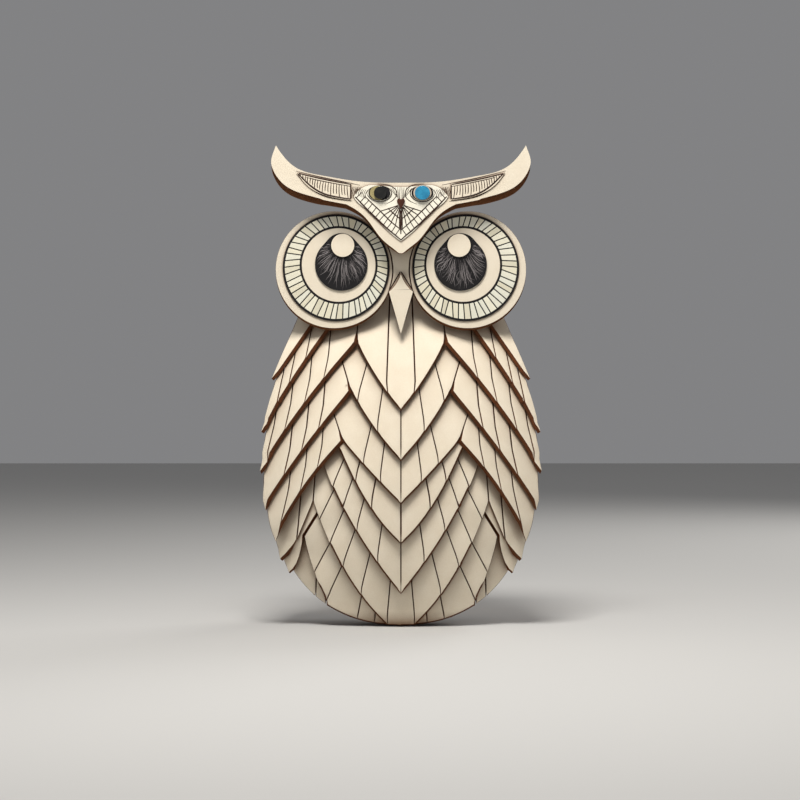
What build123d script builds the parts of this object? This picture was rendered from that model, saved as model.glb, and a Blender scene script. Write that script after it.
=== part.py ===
"""Owl hand puppet made on a small paper bag.

The bag stands open end down. Its front carries a domed breast of card feathers; its
flap carries the face. All sizes are millimetres. X runs to the owl's left as it is seen
from the front, the front faces -Y and Z is up. The origin is the middle of the bag's
open end, where the hand goes in.
"""
from build123d import *
import os
from math import cos, radians, sin, sqrt

os.makedirs("parts", exist_ok=True)

# ---- the paper bag ---------------------------------------------------------------
PAPER = 0.4                # bag paper with its glued seam
BAG_HALF_WIDTH = 55.0
BAG_HEIGHT = 197.0
GUSSET_HALF = 30.0         # each half of the side gusset, from crease to crease
GUSSET_REST = 35.0         # degrees that a half stands off the back panel at rest
MITRE_GAP = 0.5            # keeps the side gussets off the crown along the 45 degree mitre
CREASE_GAP = 0.15          # paper stops this short of every crease
BAG_INNER = GUSSET_HALF * sin(radians(GUSSET_REST)) + PAPER * cos(radians(GUSSET_REST))
BAG_FRONT = -(BAG_INNER + PAPER)

# ---- the owl on its bag ----------------------------------------------------------
# The heights of the breast and the face, further down, are drawn for this bag. The whole
# owl hangs from the fold at the bag's top, so on a taller bag it rises with the fold.
DRAWN_FOR_HEIGHT = 197.0
OWL_RISE = BAG_HEIGHT - DRAWN_FOR_HEIGHT

# ---- the flap, which is the moving head ------------------------------------------
FLAP_GAP = 0.2             # flap to front panel when the mouth is shut
FLAP_HEIGHT = 37.5
HINGE_Y = BAG_FRONT - FLAP_GAP / 2

# ---- the domed breast ------------------------------------------------------------
BACKING = 2.0              # flat card between the bag and the dome
BACKING_TOP = 158.8
DOME_HEIGHT = 30.0         # from the backing card to the top of the dome
DOME_RADIUS = 165.0
DOME_CENTRE_Z = 45.0
DOME_CARD = 1.5
RIM_CARD = 1.5
RIM_INSET = 1.2            # the rim stands inside the feather outline
RIB_CARD = 1.5
RIB_FIT = 0.1
CROSS_RIB_HEIGHTS = {"lower": 15.0, "middle": 60.0, "upper": 105.0}

# ---- feathers --------------------------------------------------------------------
FEATHER_CARD = 1.8
GLUE_LINE = 0.1
FEATHER_GAP = 0.45         # between neighbours in one tier
OVERLAP = 12.0             # how far a tier reaches up under the one above it
FEATHER_TOP = 158.3
OPEN_END = -40.0           # below the outline: the outline then cuts the feather
EGG_FOOT = -25.0           # about the lowest that a division can start
CLIMB = 0.5                # step along a division
SMALLEST_FEATHER = 12.0    # cubic millimetres
SMALL_WINGS = ("tier_7", "tier_8")     # too small to be worth a sub-part on each side

# ---- the face --------------------------------------------------------------------
RISER_DEPTH = 23.0
RISER_RADIUS = 12.0
FACE_BOARD = 1.6
FACE_BACKER = 1.4
FACE_DROP = 1.1            # the backer shows this far below the face
FACE_DISC_X, FACE_DISC_Z, FACE_DISC_R = 37.0, 171.6, 32.4
BRIDGE_HALF, BRIDGE_TOP = 12.0, 213.0
RING_X, RING_Z, RING_R = 35.9, 172.7, 29.6
WHITE_X, WHITE_Z, WHITE_R = 34.5, 174.2, 20.4
EYE_FIT = 0.15
RING_CARD = 0.6
WHITE_CARD = 0.8
PUPIL_X, PUPIL_Z, PUPIL_R = 33.0, 174.5, 14.6
PUPIL_CROWN = 9.5          # radius of the pupil's narrower upper end
PUPIL_RISE = 7.8
PUPIL_CARD = 0.8
GLINT_X, GLINT_Z, GLINT_R = 32.2, 185.0, 6.4
GLINT_CARD = 0.8
BEAK_TOP, BEAK_WIDE_Z, BEAK_TIP, BEAK_HALF = 170.0, 159.5, 136.0, 6.7
BEAK_CARD = 2.5

# ---- the brow --------------------------------------------------------------------
SPACER = 5.0
SPACER_HALF, SPACER_LOW, SPACER_HIGH = 10.0, 197.0, 212.0
BROW_BOARD = 3.5
BROW_BACKER = 2.5
BROW_DROP = 3.2            # the backer shows this far below the brow's wings
HORN_TIP = (68.7, 239.3)
BROW_V = 180.0
BROW_TOP = 218.8
INLAY_CARD = 0.6
GEM_X, GEM_Z = 11.8, 213.1
SETTING_A, SETTING_B, SETTING_CARD = 6.0, 4.1, 0.8
GEM_R, GEM_CARD = 3.2, 1.2
BROW_BEAK_Z, BROW_BEAK_CARD = 208.0, 1.0


# ---- helpers ---------------------------------------------------------------------
def plate(face, back, thick):
    """A flat card piece: face is drawn in X and Z, and its back lies at y = back."""
    return extrude(Plane.XZ.offset(-back) * face, amount=thick)


def polygon(points):
    return make_face(Polyline(*points, close=True))


def mirrored(solid):
    return mirror(solid, about=Plane.YZ)


def box_between(low, high):
    size = [h - l for l, h in zip(low, high)]
    middle = [(h + l) / 2 for l, h in zip(low, high)]
    return Pos(*middle) * Box(*size)


def save(name, *shapes):
    solids = [s for shape in shapes for s in shape.solids()]
    for s in solids:
        s.label = name
    export_step(Compound(label=name, children=solids), f"parts/{name}.step")


def save_owl(name, *shapes):
    """Saves a piece of the breast or the face, moved up or down with the bag's fold."""
    save(name, *[Pos(0, 0, OWL_RISE) * s for shape in shapes for s in shape.solids()])


class Curve2:
    """A quadratic curve from start to end, bent towards control, read as height over x."""

    def __init__(self, start, control, end):
        self.start, self.control, self.end = start, control, end

    def at(self, t):
        a, b, c = (1 - t) ** 2, 2 * t * (1 - t), t * t
        return tuple(a * p + b * q + c * r
                     for p, q, r in zip(self.start, self.control, self.end))

    def height(self, x):
        p, q, r = self.start[0], self.control[0], self.end[0]
        a, b, c = p - 2 * q + r, 2 * (q - p), p - x
        if abs(a) < 1e-9:
            return self.at(-c / b)[1]
        root = sqrt(max(b * b - 4 * a * c, 0.0))
        return self.at((-b + root) / (2 * a) if b > 0 else (-b - root) / (2 * a))[1]


class Tier:
    """One tier of feathers: the height of its lower edge over x, from the breast's middle
    to its apex and from the apex out to the wing tip, and where its feathers divide."""

    def __init__(self, name, chest, wing, chest_cuts, wing_cuts):
        self.name, self.chest, self.wing = name, chest, wing
        self.chest_cuts, self.wing_cuts = chest_cuts, wing_cuts

    def edge(self, x):
        """Height of the lower edge at x, or None where the tier has none."""
        x = abs(x)
        if self.chest and x <= self.chest.end[0]:
            return OPEN_END if x < self.chest.start[0] else self.chest.height(x)
        if self.wing and x >= self.wing.start[0]:
            if x <= self.wing.end[0]:
                return self.wing.height(x)
            return self.wing.end[1]
        return None


CHEST_LEAN = 0.011         # how fast the breast's divisions close upwards, per mm
WING_LEAN = 0.0015
APEX_LEAN = -0.011         # at an apex the division opens upwards
LONG_LEAN = 0.004          # on the long feathers of the first tier

TIERS = [
    Tier("shoulder_upper", None, Curve2((38, 157), (55, 131), (70, 106.5)), [], [38, 78]),
    Tier("shoulder_lower", None, Curve2((27, 156), (66, 104), (73, 80.5)),
         [], [27, 38.5, 51, 59.5, 65.5, 78]),
    Tier("tier_1", Curve2((0, 93.5), (13.5, 108.3), (24.5, 130.4)),
         Curve2((24.5, 130.4), (68.3, 80), (73.8, 59.4)), [8, 24.5], [24.5, 41, 51.5, 62, 71, 78]),
    Tier("tier_2", Curve2((0, 66), (16.8, 83.6), (27.2, 103.4)),
         Curve2((27.2, 103.4), (69, 53.2), (72.5, 38.5)), [0, 13.5, 24.5, 27.2],
         [27.2, 43.7, 53, 62.5, 78]),
    Tier("tier_3", Curve2((0, 42.4), (18, 60), (31.5, 76)),
         Curve2((31.5, 76), (59.6, 46.5), (68.7, 19.8)), [0, 11.8, 21.2, 31.5],
         [31.5, 44.3, 53.6, 63.5, 78]),
    Tier("tier_4", Curve2((0, 20.4), (19.3, 36.8), (35, 75)), None, [0, 16.8, 25.6, 35], []),
    Tier("tier_5", Curve2((0, -7.7), (30.1, 29), (43, 65)), None,
         [0, 13.5, 25, 32.2, 37.7, 43], []),
    Tier("tier_6", Curve2((8, -25.3), (33.3, -1.3), (48.4, 44)),
         Curve2((48.4, 44), (57, 24), (62.6, 9.4)), [8, 22.8, 32.7, 39.3, 44.8, 48.4],
         [48.4, 57.5, 78]),
    Tier("tier_7", Curve2((41.5, -11.6), (49.5, 4), (53.5, 24)),
         Curve2((53.5, 24), (56.5, 10), (58.6, 1)), [16.2, 27.8, 41.5, 48.1, 53.5],
         [53.5, 78]),
    Tier("tier_8", None, None, [], [36, 49.2, 78]),
]

BACK_OF_DOME = BAG_FRONT - BACKING
DOME_CENTRE_Y = BACK_OF_DOME - DOME_HEIGHT + DOME_RADIUS


def outline(inset=0.0):
    """The owl's egg shaped body, drawn in X and Z."""
    right = [(28, -21.5), (48.4, -9.4), (65.5, 14.9), (72.6, 38.5), (74.6, 62),
             (72.4, 88), (65.2, 121), (56, 147)]
    shift = 1 - inset / 75
    middle_z = 60
    def place(x, z):
        return (x * shift, middle_z + (z - middle_z) * shift)
    foot, shoulder = place(0, -25.9), place(47, BACKING_TOP)
    points = [place(*p) for p in right] + [shoulder]
    side = Spline(foot, *points, tangents=[(1, 0), (-0.9, 1)])
    top = Line(shoulder, (0, shoulder[1]))
    half = make_face(side + top + Line((0, shoulder[1]), foot))
    return half + mirror(half, about=Plane.YZ)


def ball(radius):
    return Pos(0, DOME_CENTRE_Y, DOME_CENTRE_Z) * Sphere(radius)


def level(number):
    """Inner and outer radius of a tier's shell, counted from the dome up."""
    inner = DOME_RADIUS + GLUE_LINE + (number - 1) * (FEATHER_CARD + GLUE_LINE)
    return inner, inner + FEATHER_CARD


# ---- the bag ---------------------------------------------------------------------
def bag():
    wide, high, gap = BAG_HALF_WIDTH, BAG_HEIGHT, CREASE_GAP
    back = box_between((-wide, BAG_INNER, 0), (wide, BAG_INNER + PAPER, high))
    save("bag_back_panel", back)
    save("bag_front_panel", box_between((-wide, BAG_FRONT, 0), (wide, -BAG_INNER, high)))
    flap_front = BAG_FRONT - FLAP_GAP
    save("bag_flap", box_between((-wide, flap_front - PAPER, high - FLAP_HEIGHT),
                                 (wide, flap_front, high - gap)))

    def fold(points, axis, turn):
        """A panel drawn flat on the back panel's inner face, turned up about its crease."""
        flat = extrude(Plane.XZ.offset(-BAG_INNER) * polygon(points), amount=PAPER)
        return flat.rotate(axis, turn)

    inner = GUSSET_HALF - gap
    side = [(wide - gap, 0), (wide - GUSSET_HALF + gap, 0),
            (wide - GUSSET_HALF + gap, high - inner - MITRE_GAP),
            (wide - gap, high - gap - MITRE_GAP)]
    crease = Axis((wide, BAG_INNER, 0), (0, 0, 1))
    right_rear = fold(side, crease, GUSSET_REST)
    crown = [(-wide + gap, high - gap), (wide - gap, high - gap),
             (wide - inner, high - GUSSET_HALF + gap), (-wide + inner, high - GUSSET_HALF + gap)]
    top_crease = Axis((0, BAG_INNER, high), (1, 0, 0))
    crown_rear = fold(crown, top_crease, -GUSSET_REST)
    front = Plane.XZ
    save("gusset_right_rear", right_rear)
    save("gusset_right_front", mirror(right_rear, about=front))
    save("gusset_left_rear", mirrored(right_rear))
    save("gusset_left_front", mirrored(mirror(right_rear, about=front)))
    save("crown_rear", crown_rear)
    save("crown_front", mirror(crown_rear, about=front))


# ---- the body --------------------------------------------------------------------
def body():
    egg = outline(RIM_INSET)
    block = plate(egg, BACK_OF_DOME, 80)
    save_owl("backing_card", plate(egg, BAG_FRONT, BACKING))
    under = ball(DOME_RADIUS - DOME_CARD)
    save_owl("body_shell", (block & ball(DOME_RADIUS)) - under)
    core = plate(outline(RIM_INSET + RIM_CARD), BACK_OF_DOME, 80)
    inside = ball(DOME_RADIUS - DOME_CARD - GLUE_LINE)
    save_owl("rim_band", (block - core) & inside)
    room = plate(outline(RIM_INSET + RIM_CARD + RIB_FIT), BACK_OF_DOME, 80) & inside
    half, slot = RIB_CARD / 2, RIB_CARD / 2 + RIB_FIT
    lap = BACK_OF_DOME - DOME_HEIGHT / 2
    centre = room & box_between((-half, -90, -40), (half, 0, 200))
    for name, z in CROSS_RIB_HEIGHTS.items():
        cross = room & box_between((-90, -90, z - half), (90, 0, z + half))
        cross -= box_between((-slot, lap, z - 5), (slot, 0, z + 5))
        centre -= box_between((-5, -90, z - slot), (5, lap + RIB_FIT, z + slot))
        save_owl(f"rib_{name}", cross)
    save_owl("rib_centre", centre)


# ---- the feathers ----------------------------------------------------------------
def cover(number, x):
    """How low the tiers above this one reach at x."""
    found = [t.edge(x) for t in TIERS[:number]]
    return min([z for z in found if z is not None], default=FEATHER_TOP)


def division(tier, number, x, lean):
    """Where a dividing line ends that starts at x on the tier's lower edge and leans inwards
    as it climbs: it is followed up until it is well under the tiers above."""
    low = tier.edge(x)
    z = foot = EGG_FOOT if low is None else max(low, EGG_FOOT)
    head_x = x
    while z < min(cover(number, head_x) + OVERLAP, FEATHER_TOP):
        z += CLIMB
        head_x = x * (1 - lean * (z - foot))
    return head_x, z


STEPS = 6                  # straight runs in one feather's lower and upper edge


def feather(tier, number, near, far):
    """The flat outline of one feather between two divisions, each (x, lean)."""
    low_x = [near[0] + (far[0] - near[0]) * i / STEPS for i in range(STEPS + 1)]
    heads = [division(tier, number, *near)[0], division(tier, number, *far)[0]]
    top_x = [heads[1] + (heads[0] - heads[1]) * i / STEPS for i in range(STEPS + 1)]
    half = FEATHER_GAP / 2
    low, top = [], []
    for i, x in enumerate(low_x):
        z = tier.edge(x)
        low.append((x + half * (i == 0) - half * (i == STEPS), OPEN_END if z is None else z))
    for i, x in enumerate(top_x):
        z = min(cover(number, x) + OVERLAP, FEATHER_TOP)
        top.append((x - half * (i == 0) + half * (i == STEPS), z))
    return low + top


def apex_lean(tier):
    """The lean of the division at a tier's apex, which its breast and its wing share."""
    if tier.chest is None or tier.name in ("tier_1", "tier_6"):
        return WING_LEAN
    return APEX_LEAN if tier.name in ("tier_2", "tier_3") else CHEST_LEAN


def leans(tier, part):
    """Each division of one part of a tier with its lean."""
    if part == "wing":
        cuts = tier.wing_cuts
        first = apex_lean(tier)
        return [(x, WING_LEAN if i else first) for i, x in enumerate(cuts)]
    cuts = tier.chest_cuts
    lean = LONG_LEAN if tier.name == "tier_1" else CHEST_LEAN
    return [(x, apex_lean(tier) if x == cuts[-1] else lean) for x in cuts]


def feathers():
    egg = plate(outline(), BACK_OF_DOME, 90)
    for number, tier in enumerate(TIERS):
        inner, outer = level(len(TIERS) - number)
        shell = (egg & ball(outer)) - ball(inner)
        groups = {}
        for part in ("chest", "wing"):
            lines = leans(tier, part)
            made = []
            for near, far in zip(lines, lines[1:]):
                points = feather(tier, number, near, far)
                cut = plate(polygon(points), 0, 110) & shell
                made += [s for s in cut.solids() if s.volume > SMALLEST_FEATHER]
            groups[part] = made
        middle = []
        if tier.chest and tier.chest_cuts[0] > 0:
            first = leans(tier, "chest")[0]
            points = feather(tier, number, (-first[0], first[1]), first)
            cut = plate(polygon(points), 0, 110) & shell
            middle = [s for s in cut.solids() if s.volume > SMALLEST_FEATHER]
        right = groups["wing"]
        left = [mirrored(s) for s in right]
        if right and tier.name in SMALL_WINGS:
            save_owl(f"{tier.name}_wings", *right, *left)
        elif right:
            save_owl(f"{tier.name}_right_wing", *right)
            save_owl(f"{tier.name}_left_wing", *left)
        if groups["chest"]:
            both = groups["chest"] + [mirrored(s) for s in groups["chest"]]
            save_owl(f"{tier.name}_breast", *middle, *both)


# ---- the face --------------------------------------------------------------------
def disc(x, z, radius):
    return Pos(x, z) * Circle(radius)


def pupil_outline(x):
    lower = disc(x, PUPIL_Z, PUPIL_R)
    upper = disc(x, PUPIL_Z + PUPIL_RISE, PUPIL_CROWN)
    return make_hull((lower.edges() + upper.edges()))


def beak_outline():
    top, wide = (0, BEAK_TOP), (BEAK_HALF, BEAK_WIDE_Z)
    hollow = ThreePointArc(top, (BEAK_HALF * 0.36, (BEAK_TOP + BEAK_WIDE_Z) / 2 - 0.4), wide)
    edge = Line(wide, (0, BEAK_TIP))
    half = make_face(hollow + edge + Line((0, BEAK_TIP), top))
    return half + mirror(half, about=Plane.YZ)


def brow_outline(drop=0.0):
    """The horned brow. With a drop its wings hang that much lower, and its point hardly."""
    tip = (HORN_TIP[0], HORN_TIP[1] - 0.3 * drop)
    wing_foot = (30.2, 207 - 0.65 * drop)
    under = Spline(tip, (71.3, 230 - 0.8 * drop), (67.3, 221 - drop), (57, 213.8 - drop),
                   (44, 210 - 0.9 * drop), wing_foot, tangents=[(0.35, -1), (-1, -0.18)])
    vee = Spline(wing_foot, (19, 199.1 - 0.35 * drop), (9.6, 187 - 0.25 * drop),
                 (2.2, 181 - 0.1 * drop), (0, BROW_V), tangents=[(-1, -0.45), (-1, 0)])
    over = Spline((0, BROW_TOP), (23.8, 219.6), (43.5, 222.8), (57.5, 227), tip,
                  tangents=[(1, 0), (0.62, 1)])
    half = make_face(under + vee + over + Line((0, BROW_V), (0, BROW_TOP)))
    return half + mirror(half, about=Plane.YZ)


def inlay_outlines():
    """The engraved panels let onto the brow: the middle one and the right wing one."""
    edge = Spline((0, 186.6), (9.5, 194.5), (20, 204.8), (26, 211), tangents=[(1, 0.7), (0.5, 1)])
    top = Spline((26, 211), (21, 216.2), (0, 216.6), tangents=[(-0.5, 1), (-1, 0)])
    half = make_face(edge + top + Line((0, 216.6), (0, 186.6)))
    low = Spline((27.5, 209.3), (45, 213), (57, 224.4), tangents=[(1, 0.1), (0.5, 1)])
    high = Spline((57, 224.4), (43, 221), (27.5, 218.4), tangents=[(-1, -0.25), (-1, -0.1)])
    wing = make_face(low + high + Line((27.5, 218.4), (27.5, 209.3)))
    return half + mirror(half, about=Plane.YZ), wing


def face():
    flap_front = BAG_FRONT - FLAP_GAP - PAPER
    face_back = flap_front - RISER_DEPTH
    front = face_back - FACE_BACKER - FACE_BOARD
    riser = plate(disc(WHITE_X, WHITE_Z + 4, RISER_RADIUS), flap_front, RISER_DEPTH)
    save_owl("riser_right", riser)
    save_owl("riser_left", mirrored(riser))
    middle = (BRIDGE_TOP + BEAK_WIDE_Z) / 2
    bridge = Pos(0, middle) * Rectangle(2 * BRIDGE_HALF, BRIDGE_TOP - BEAK_WIDE_Z)
    mask = disc(FACE_DISC_X, FACE_DISC_Z, FACE_DISC_R) + bridge
    mask += disc(-FACE_DISC_X, FACE_DISC_Z, FACE_DISC_R)
    save_owl("face_backer", plate(Pos(0, -FACE_DROP) * mask, face_back, FACE_BACKER))
    save_owl("face_plate", plate(mask, face_back - FACE_BACKER, FACE_BOARD))
    ring = disc(RING_X, RING_Z, RING_R) - disc(WHITE_X, WHITE_Z, WHITE_R + EYE_FIT)
    parts = {
        "eye_ring": plate(ring, front, RING_CARD),
        "eye_white": plate(disc(WHITE_X, WHITE_Z, WHITE_R), front, WHITE_CARD),
        "pupil": plate(pupil_outline(PUPIL_X), front - WHITE_CARD, PUPIL_CARD),
        "catchlight": plate(disc(GLINT_X, GLINT_Z, GLINT_R),
                            front - WHITE_CARD - PUPIL_CARD, GLINT_CARD),
    }
    for name, solid in parts.items():
        save_owl(f"{name}_right", solid)
        save_owl(f"{name}_left", mirrored(solid))
    save_owl("beak", plate(beak_outline(), front, BEAK_CARD))
    spacer = Pos(0, (SPACER_LOW + SPACER_HIGH) / 2) * Rectangle(
        2 * SPACER_HALF, SPACER_HIGH - SPACER_LOW)
    save_owl("brow_spacer", plate(spacer, front, SPACER))
    brow_back = front - SPACER
    save_owl("brow_backer", plate(brow_outline(BROW_DROP), brow_back, BROW_BACKER))
    save_owl("brow_plate", plate(brow_outline(), brow_back - BROW_BACKER, BROW_BOARD))
    top = brow_back - BROW_BACKER - BROW_BOARD
    centre, wing = inlay_outlines()
    save_owl("brow_panel_centre", plate(centre, top, INLAY_CARD))
    wing_panel = plate(wing, top, INLAY_CARD)
    save_owl("brow_panel_right", wing_panel)
    save_owl("brow_panel_left", mirrored(wing_panel))
    top -= INLAY_CARD
    setting = plate(Pos(GEM_X, GEM_Z) * Ellipse(SETTING_A, SETTING_B), top, SETTING_CARD)
    gem = plate(disc(GEM_X, GEM_Z, GEM_R), top - SETTING_CARD, GEM_CARD)
    save_owl("gem_settings", setting, mirrored(setting))
    save_owl("gem_blue_right", gem)
    save_owl("gem_dark_left", mirrored(gem))
    z = BROW_BEAK_Z
    drop = polygon([(0, z - 4), (2.3, z + 0.6), (1.6, z + 2.2), (0, z + 1.6),
                    (-1.6, z + 2.2), (-2.3, z + 0.6)])
    save_owl("brow_beak", plate(drop, top, BROW_BEAK_CARD))


bag()
body()
feathers()
face()
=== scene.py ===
# %% [markdown]
# # An owl puppet on a paper bag
# The puppet is a small kraft bag, worn on the hand with its open end down. Its breast is a
# dome of overlapping card feathers, and its face is a stack of card on the flap at the top.
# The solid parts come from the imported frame. Here they get their card, ink and paper, and the
# thin things that a solid model leaves out: eye tiles, pupil fibres, ink lines and creases.

# %% Load the frame
import bmesh
import bpy
import random
from math import cos, hypot, pi, radians, sin, sqrt
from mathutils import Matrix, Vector, geometry, kdtree, noise


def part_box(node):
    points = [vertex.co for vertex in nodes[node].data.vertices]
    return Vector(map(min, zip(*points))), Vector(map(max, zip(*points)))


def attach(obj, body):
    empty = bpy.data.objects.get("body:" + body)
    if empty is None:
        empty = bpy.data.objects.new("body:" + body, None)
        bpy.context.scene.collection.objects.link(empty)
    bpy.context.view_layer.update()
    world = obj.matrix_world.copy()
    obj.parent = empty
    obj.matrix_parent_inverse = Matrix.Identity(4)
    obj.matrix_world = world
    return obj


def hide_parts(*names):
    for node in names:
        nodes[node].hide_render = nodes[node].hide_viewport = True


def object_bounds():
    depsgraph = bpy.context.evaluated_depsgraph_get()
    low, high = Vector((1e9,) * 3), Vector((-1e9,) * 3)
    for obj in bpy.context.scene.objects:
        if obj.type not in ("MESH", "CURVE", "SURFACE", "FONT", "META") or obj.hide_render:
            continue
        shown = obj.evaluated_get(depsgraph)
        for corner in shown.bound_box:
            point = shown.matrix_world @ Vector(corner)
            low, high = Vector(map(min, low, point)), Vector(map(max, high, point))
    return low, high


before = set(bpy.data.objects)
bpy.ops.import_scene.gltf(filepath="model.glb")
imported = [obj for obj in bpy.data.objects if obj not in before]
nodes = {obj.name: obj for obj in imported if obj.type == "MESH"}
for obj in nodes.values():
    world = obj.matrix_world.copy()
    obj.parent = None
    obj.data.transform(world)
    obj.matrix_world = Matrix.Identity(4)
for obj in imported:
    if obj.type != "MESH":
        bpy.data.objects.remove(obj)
cad_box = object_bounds()
MM = 0.001
WELD_REACH = 2e-6      # points as close as this are one point
random.seed(7)
print("loaded", len(nodes), "nodes")

# %% [markdown]
# ## Measures
# The depths of the face's layers and the floor's height are read from the frame, and the dome's
# centre is given. The dome's feathers are parts of balls about one centre, which sits behind the
# bag, so a feather's front always faces straight away from that centre.

# %% Measures
def low(node):
    return Vector(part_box(node)[0])


def high(node):
    return Vector(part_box(node)[1])


DOME_CENTRE = Vector((0, 0.11507, 0.045))
FACE_Y = low("face_plate").y
RING_Y = low("eye_ring_right").y
PUPIL_Y = low("pupil_right").y
PANEL_Y = low("brow_panel_centre").y
BROW_Y = low("brow_plate").y
FLOOR_Z = cad_box[0].z - 0.5 * MM


def centre_of(node):
    return (low(node) + high(node)) / 2


print("face at", FACE_Y, "brow at", BROW_Y)

# %% [markdown]
# ## Node groups
# Card, board and kraft are the same stuff in different colours: pressed fibre. One group makes
# the fibre's soft mottle and its tiny relief, and each material asks for its own scale.

# %% Helpers for materials
def new_group(name, inputs, outputs):
    group = bpy.data.node_groups.new(name, "ShaderNodeTree")
    for label, kind, value in inputs:
        socket = group.interface.new_socket(label, in_out="INPUT", socket_type=kind)
        if value is not None:
            socket.default_value = value
    for label, kind in outputs:
        group.interface.new_socket(label, in_out="OUTPUT", socket_type=kind)
    return group, group.nodes.new("NodeGroupInput"), group.nodes.new("NodeGroupOutput")


def add(tree, kind, **settings):
    node = tree.nodes.new(kind)
    for key, value in settings.items():
        setattr(node, key, value)
    return node


def math_node(tree, operation, a, b=None, clamp=False):
    node = add(tree, "ShaderNodeMath", operation=operation, use_clamp=clamp)
    for index, value in enumerate((a, b)):
        if value is None:
            continue
        if isinstance(value, (int, float)):
            node.inputs[index].default_value = value
        else:
            tree.links.new(value, node.inputs[index])
    return node.outputs[0]


# %% Fibre group
CLOUD_SCALE, FINE_SCALE = 90, 1500
CLOUD_SHARE = 0.55     # of the mottle; the rest is the fine noise


def make_fibre_group():
    group, inside, out = new_group(
        "pressed_fibre",
        [("Scale", "NodeSocketFloat", 1.0), ("Stretch", "NodeSocketVector", (1, 1, 1))],
        [("Mottle", "NodeSocketFloat"), ("Relief", "NodeSocketFloat")])
    links = group.links
    coords = add(group, "ShaderNodeTexCoord")
    stretch = add(group, "ShaderNodeVectorMath", operation="MULTIPLY")
    links.new(coords.outputs["Object"], stretch.inputs[0])
    links.new(inside.outputs["Stretch"], stretch.inputs[1])
    scaled = add(group, "ShaderNodeVectorMath", operation="SCALE")
    links.new(stretch.outputs[0], scaled.inputs[0])
    links.new(inside.outputs["Scale"], scaled.inputs["Scale"])
    cloud = add(group, "ShaderNodeTexNoise")
    cloud.inputs["Scale"].default_value = CLOUD_SCALE
    cloud.inputs["Detail"].default_value = 4
    fine = add(group, "ShaderNodeTexNoise")
    fine.inputs["Scale"].default_value = FINE_SCALE
    fine.inputs["Detail"].default_value = 5
    for texture in (cloud, fine):
        links.new(scaled.outputs[0], texture.inputs["Vector"])
    fine_part = math_node(group, "MULTIPLY", fine.outputs["Fac"], 1 - CLOUD_SHARE)
    cloud_part = math_node(group, "MULTIPLY", cloud.outputs["Fac"], CLOUD_SHARE)
    links.new(math_node(group, "ADD", fine_part, cloud_part), out.inputs["Mottle"])
    links.new(fine.outputs["Fac"], out.inputs["Relief"])
    return group


FIBRE = make_fibre_group()

# %% [markdown]
# A laser or a hot knife leaves card pale on its face and toasted on its edge. The mask below is
# 1 on the face and 0 on every edge: it compares the surface's own direction with the way the
# face should look, which is straight away from the dome's centre, or straight forward.

# %% Toasted edge group
FACE_SHARPNESS = 0.93  # how squarely a surface has to look ahead to count as face
EDGE_CONTRAST = 60.0


def make_edge_group():
    group, inside, out = new_group(
        "toasted_edge",
        [("Centre", "NodeSocketVector", (0, 0, 0)),
         ("Sharpness", "NodeSocketFloat", FACE_SHARPNESS)],
        [("Face", "NodeSocketFloat")])
    links = group.links
    coords = add(group, "ShaderNodeTexCoord")
    surface = add(group, "ShaderNodeNewGeometry")
    turn = add(group, "ShaderNodeVectorTransform", vector_type="NORMAL",
               convert_from="WORLD", convert_to="OBJECT")
    links.new(surface.outputs["True Normal"], turn.inputs[0])
    away = add(group, "ShaderNodeVectorMath", operation="SUBTRACT")
    links.new(coords.outputs["Object"], away.inputs[0])
    links.new(inside.outputs["Centre"], away.inputs[1])
    unit = add(group, "ShaderNodeVectorMath", operation="NORMALIZE")
    links.new(away.outputs[0], unit.inputs[0])
    dot = add(group, "ShaderNodeVectorMath", operation="DOT_PRODUCT")
    links.new(unit.outputs[0], dot.inputs[0])
    links.new(turn.outputs[0], dot.inputs[1])
    above = math_node(group, "SUBTRACT", dot.outputs["Value"], inside.outputs["Sharpness"])
    links.new(math_node(group, "MULTIPLY", above, EDGE_CONTRAST, clamp=True),
              out.inputs["Face"])
    return group


EDGE = make_edge_group()


# %% Card material
def mix_colour(tree, factor, first, second):
    mix = add(tree, "ShaderNodeMix", data_type="RGBA")
    for index, value in ((0, factor), (6, first), (7, second)):
        if isinstance(value, (tuple, float, int)):
            mix.inputs[index].default_value = value
        else:
            tree.links.new(value, mix.inputs[index])
    return mix.outputs[2]


def widened(tree, value, lowest, highest):
    """A value that runs from lowest to highest, stretched to run from 0 to 1."""
    node = add(tree, "ShaderNodeMapRange")
    node.inputs["From Min"].default_value = lowest
    node.inputs["From Max"].default_value = highest
    tree.links.new(value, node.inputs["Value"])
    return node.outputs[0]


TOAST = (0.135, 0.042, 0.012)
# the colour of the painted shade that darkens card under an overhanging edge
PAINTED_SHADE_COLOUR = (0.26, 0.16, 0.095)
DEEP_TOAST = 0.55          # the darker mottle of an edge, as a share of its colour
MOTTLE_RANGE = 0.36, 0.64
RECESS_RANGE = 0.38, 0.98  # from shut in to open
RECESS_SAMPLES = 12
RELIEF_DEPTH = 0.2 * MM
FAR_BEHIND = (0, 1000, 0)  # a centre so far off that flat card looks straight forward


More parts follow.
